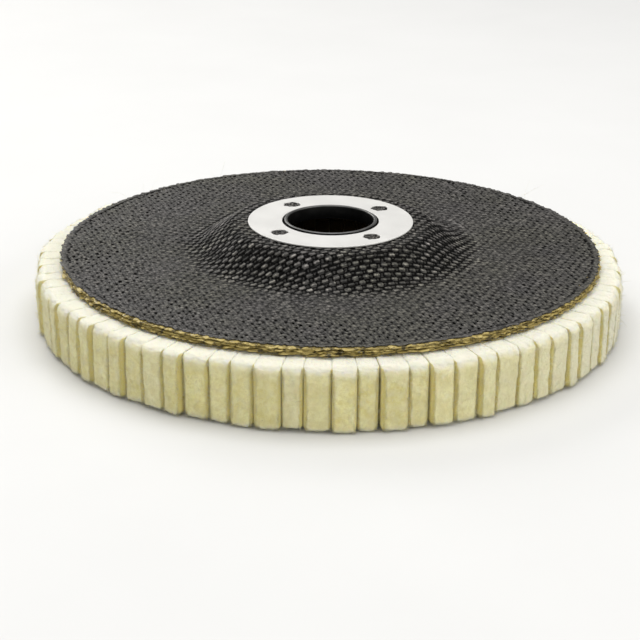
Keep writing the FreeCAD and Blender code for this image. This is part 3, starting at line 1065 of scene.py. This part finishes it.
def make_flap(node_points, plan, half_gap, flap):
    """One felt block: matted, lumpy faces, soft uneven edges, a ragged cut foot, and loose fibres."""
    random = np.random.default_rng(1000 + flap)
    lean, wear = np.random.default_rng(5000 + flap).random(2)
    c, s = math.cos(flap_angle(flap)), math.sin(flap_angle(flap))
    floor, top = node_points[:, 2].min(), node_points[:, 2].max()
    height = top - floor
    inner, pinch, outer = plan[0][[0, 1, -1]]
    # The flaps at the front stand out the furthest, and those at the left further than at the right.
    outer_end = outer + random.uniform(-0.35, 0.5)
    outer_end += 0.15 + 0.8 * unit(-s) ** 2 - 0.35 * c
    shape, radial, level, free, middle = plain_flap(plan, outer_end, height, lean, random)
    normal = vertex_normals(shape, BLOCK_QUADS)
    on_side = np.abs(normal[:, 1])
    edge = unit(2.2 * (1 - np.max(np.abs(normal), axis=1)))
    under_plate = (normal[:, 2] > 0.7) & (radial < PLATE_EDGE)
    near_top = unit((level - height + SQUEEZED_BAND) / 2)
    near_top *= np.clip((outer_end - radial - 0.2) / 1.6, 0.2, 1)
    seeded = shape + flap * np.array([31.7, 13.3, 7.9])

    # The sides press against the neighbours near the top and at the outer end.
    lumps = sum(noise(seeded, size, seed) * depth for size, depth, seed in LUMPS)
    touching = np.maximum(near_top, unit((outer_end - 0.25 - radial) / 0.8))
    reach = np.clip((radial - pinch) / (outer - pinch), 0, 1.1)
    gap = np.minimum(np.where(normal[:, 1] < 0, *half_gap), WIDEST_CLOSING) * reach
    squeezed = 0.93 * gap * touching + 0.1 * near_top - np.abs(lumps) * 0.9 * (1 - touching)
    shape[:, 1] += np.sign(normal[:, 1]) * unit((on_side - 0.15) / 0.3) * squeezed * free
    # The faces are lumpy, the edges bitten, and the foot cut unevenly.
    lumps *= on_side < 0.8
    bite = edge * np.clip(noise(seeded, 1.1, 4) + 0.1, -0.3, 1) * 0.32
    bite *= 1 - 0.8 * unit((on_side - 0.1) / 0.2) * (level > height - SQUEEZED_BAND)
    amount = np.where(under_plate, 0.0, 0.25 + 0.75 * free)
    shape += normal * ((lumps - bite - 0.03) * amount)[:, None]
    lifted = unit(noise(seeded, 1.4, 5) - 0.1) * 0.6 + 0.5 * wear ** 2
    shape[:, 2] += unit(1 - level / 1.5) * lifted * free
    shape[:, 2] = np.maximum(shape[:, 2], 0.0)
    shape[:, 1] += middle
    turn = np.array([[c, s, 0], [-s, c, 0], [0, 0, 1]])
    placed, outward = shape @ turn, normal @ turn
    placed[:, 2] += floor

    # The felt is amber deep between flaps, which is painted shade. It is dark at the bead, partly resin
    # drawn in and partly painted shade, and pale on its top, brow and foot. The pale top and brow and the
    # paler right-hand flaps are painted light.
    deep = unit((outer_end - radial + 0.35) / 0.6)
    # Painted shade: the sides deep in the gaps between flaps are marked amber.
    between = unit((on_side - 0.45) / 0.3) * deep * (1 - near_top)
    # Resin drawn in and painted shade: dark within 1.2 mm of the inner end, in the cavity under the plate.
    soaked_and_shaded = unit((inner + 1.2 - radial) / 1.2)
    below_brow = unit((height - level - 1.2) / 3)
    # Painted light: paler where the face turns up, near the brow, and on the flaps towards the right.
    pale = np.max([
        unit((normal[:, 2] + 0.05 + 0.25 * noise(seeded, 1.6, 6)) / 0.75) * free,
        0.42 * (1 - below_brow) * free,
        0.55 * unit(1.25 - level / 1.9),
        0.35 * wear ** 2 * free,
        0.9 * unit(c - 0.15) * np.ones_like(free),
        0.15 * edge * free,
    ], axis=0) * (1 - between)

    # Hair grows where the felt shows: nap on the fronts, fluff on the tops, and bridges between flaps.
    seen = np.flatnonzero((radial > pinch + 1.0) & ~under_plate & (placed[:, 2] > 0.15)
                          & ((on_side < 0.9) | (radial > outer_end - 2.0)))
    fronts, tops = seen[normal[seen, 2] < 0.4], seen[normal[seen, 2] > 0.5]
    edges = fronts[edge[fronts] > 0.2]
    beside = seen[(on_side[seen] > 0.3) & (on_side[seen] < 0.97) & (near_top[seen] < 0.6)]
    nap, fluff, bridges = (random.choice(grown_on, coat[0]) for grown_on, coat in zip(
        (np.concatenate([fronts, edges]), tops, beside), COATS))
    aside = np.sign(normal[bridges, 1])[:, None] * np.array([-s, c, 0]) * 1.6
    hairs = [felt_fibres(placed[roots], out, random, usual * random.lognormal(0, spread, count), thickness)
             for roots, out, (count, usual, spread, thickness) in zip(
                 (nap, fluff, bridges), (outward[nap], outward[fluff], aside), COATS)]
    for owner, reach in WISPS:
        if owner == flap:
            away = np.array([[c * 0.5, s * 0.5, 0.9]] * 2)
            hairs.append(felt_fibres(placed[random.choice(tops, 2)], away, random,
                                     reach * np.array([1.0, 0.6]), thickness=0.045, curl_share=0.7,
                                     rings=14))
    counts = [len(vertices) for vertices, _ in hairs]
    per_bridge = counts[2] // len(bridges)
    first, last = sum(counts[:2]), sum(counts[:3])
    hair_pale, hair_amber = np.ones(sum(counts)), np.zeros(sum(counts))
    hair_pale[:counts[0]] = 0.5
    hair_pale[first:last] = np.repeat(unit(pale[bridges] - 0.1), per_bridge)
    # The bridging hairs take the gaps' painted shade too.
    hair_amber[first:last] = np.repeat(0.8 * (1 - near_top[bridges]), per_bridge)
    return [(placed, [BLOCK_QUADS])] + hairs, {
        "pale": np.concatenate([pale, hair_pale]),
        "between": np.concatenate([between, hair_amber]),
        "soaked_and_shaded": np.concatenate([soaked_and_shaded, np.zeros(sum(counts))]),
        "shade": np.full(len(placed) + sum(counts), random.random()),
    }


def flap_angle(flap):
    """Where a flap stands round the disc."""
    return (flap + 0.5) * TURN / FLAP_COUNT


def make_felt():
    """Every flap, two to a piece as in the CAD nodes."""
    points = [node_vertices(node) for node in FLAP_NODES]
    plans = [flap_plan(points[flap // FLAPS_PER_NODE], flap % FLAPS_PER_NODE, flap_angle(flap))
             for flap in range(FLAP_COUNT)]
    gaps = half_gaps(plans)
    for index, node in enumerate(FLAP_NODES):
        flaps = [make_flap(points[index], plans[flap], gaps[flap], flap)
                 for flap in range(index * FLAPS_PER_NODE, (index + 1) * FLAPS_PER_NODE)]
        vertices, faces = join_parts([part for parts, _ in flaps for part in parts])
        attributes = {label: np.concatenate([values[label] for _, values in flaps])
                      for label in flaps[0][1]}
        piece = build_piece(f"felt_pair_{index + 1:02d}", vertices, faces, "felt", [node], attributes)


def plain_block():
    """The length and height of the block that every flap is shaped from, and its surface."""
    points = node_vertices(FLAP_NODES[0])
    length, height = np.ptp(radius_of(points)), np.ptp(points[:, 2])
    width = 5.0
    surface = block_surface(
        stations(length, fine_from=12.5, coarse=2.2, fine=0.45),
        stations(width, fine_from=0.9, coarse=0.5, fine=0.4) / (width / 2) - 1,
        stations(height, fine_from=0.9, coarse=0.5, fine=0.45))
    return length, height, *surface


PLATE_EDGE = node_span("facing_ply")[1]
BLOCK_LENGTH, BLOCK_HEIGHT, BLOCK_POINTS, BLOCK_QUADS = plain_block()


# ---------------------------------------------------------------- floor, light and camera

# Lengths here are in metres, but for the camera's lens and sensor, which are in millimetres.
CAMERA_PLACE = (-0.0025, -0.3995, 0.1558)
CAMERA_PITCH = math.radians(21.7)
CAMERA_ROLL = math.radians(0.51)
CAMERA_LENS = 91.4
CAMERA_SENSOR = 36
FLOOR_HALF = 3.0
WORLD_COLOUR = (1.0, 0.99, 0.97, 1)
WORLD_STRENGTH = 0.40
# Each lamp: its place, its width and depth, its power in watts and its colour.
LAMPS = {
    "overhead_softbox": ((0.0, 0.1, 0.9), (0.9, 0.7), 7.7, (1, 1, 1)),
    "back_window": ((-0.6, 0.85, 0.6), (0.8, 0.5), 5.9, (1.0, 0.99, 0.96)),
    "right_window": ((0.85, -0.45, 0.5), (0.8, 0.5), 4.0, (1.0, 0.99, 0.96)),
    "front_fill": ((-0.2, -0.9, 0.6), (0.8, 0.5), 2.4, (1.0, 0.99, 0.96)),
}


def make_floor():
    """The pale table that the disc lies on."""
    mesh = bpy.data.meshes.new("floor")
    corners = [(x * FLOOR_HALF, y * FLOOR_HALF, 0) for x, y in ((-1, -1), (1, -1), (1, 1), (-1, 1))]
    mesh.from_pydata(corners, [], [(0, 1, 2, 3)])
    mesh.materials.append(pale_floor())
    floor = add_object("floor", mesh)


def area_light(name, place, size, power, colour):
    """A lamp that shines at the disc."""
    light = bpy.data.lights.new(name, "AREA")
    light.shape = "RECTANGLE"
    light.size, light.size_y = size
    light.energy = power
    light.color = colour
    lamp = add_object(name, light)
    lamp.location = place
    lamp.rotation_mode = "QUATERNION"
    lamp.rotation_quaternion = Vector(place).to_track_quat("Z", "Y")


def make_studio():
    """The soft surrounding light and the lamps."""
    world = bpy.data.worlds.new("studio")
    world.use_nodes = True
    background = world.node_tree.nodes["Background"]
    background.inputs["Color"].default_value = WORLD_COLOUR
    background.inputs["Strength"].default_value = WORLD_STRENGTH
    bpy.context.scene.world = world
    for name, settings in LAMPS.items():
        area_light(name, *settings)
    bpy.context.scene.view_settings.view_transform = "Standard"


def make_camera():
    """The photograph's camera, solved from its ellipses."""
    camera = bpy.data.cameras.new("camera")
    camera.sensor_width = CAMERA_SENSOR
    camera.lens = CAMERA_LENS
    camera.clip_start = 0.01
    holder = add_object("camera", camera)
    tilt = Matrix.Rotation(math.pi / 2 - CAMERA_PITCH, 4, "X") @ Matrix.Rotation(CAMERA_ROLL, 4, "Z")
    holder.matrix_world = Matrix.Translation(CAMERA_PLACE) @ tilt
    bpy.context.scene.camera = holder


make_washer()
make_sleeve()
make_facing()
for index, (ply, lay) in enumerate(GLASS_PLIES.items()):
    make_glass_ply(index, ply, *lay)
make_resin()
make_felt()
make_floor()
make_studio()
make_camera()
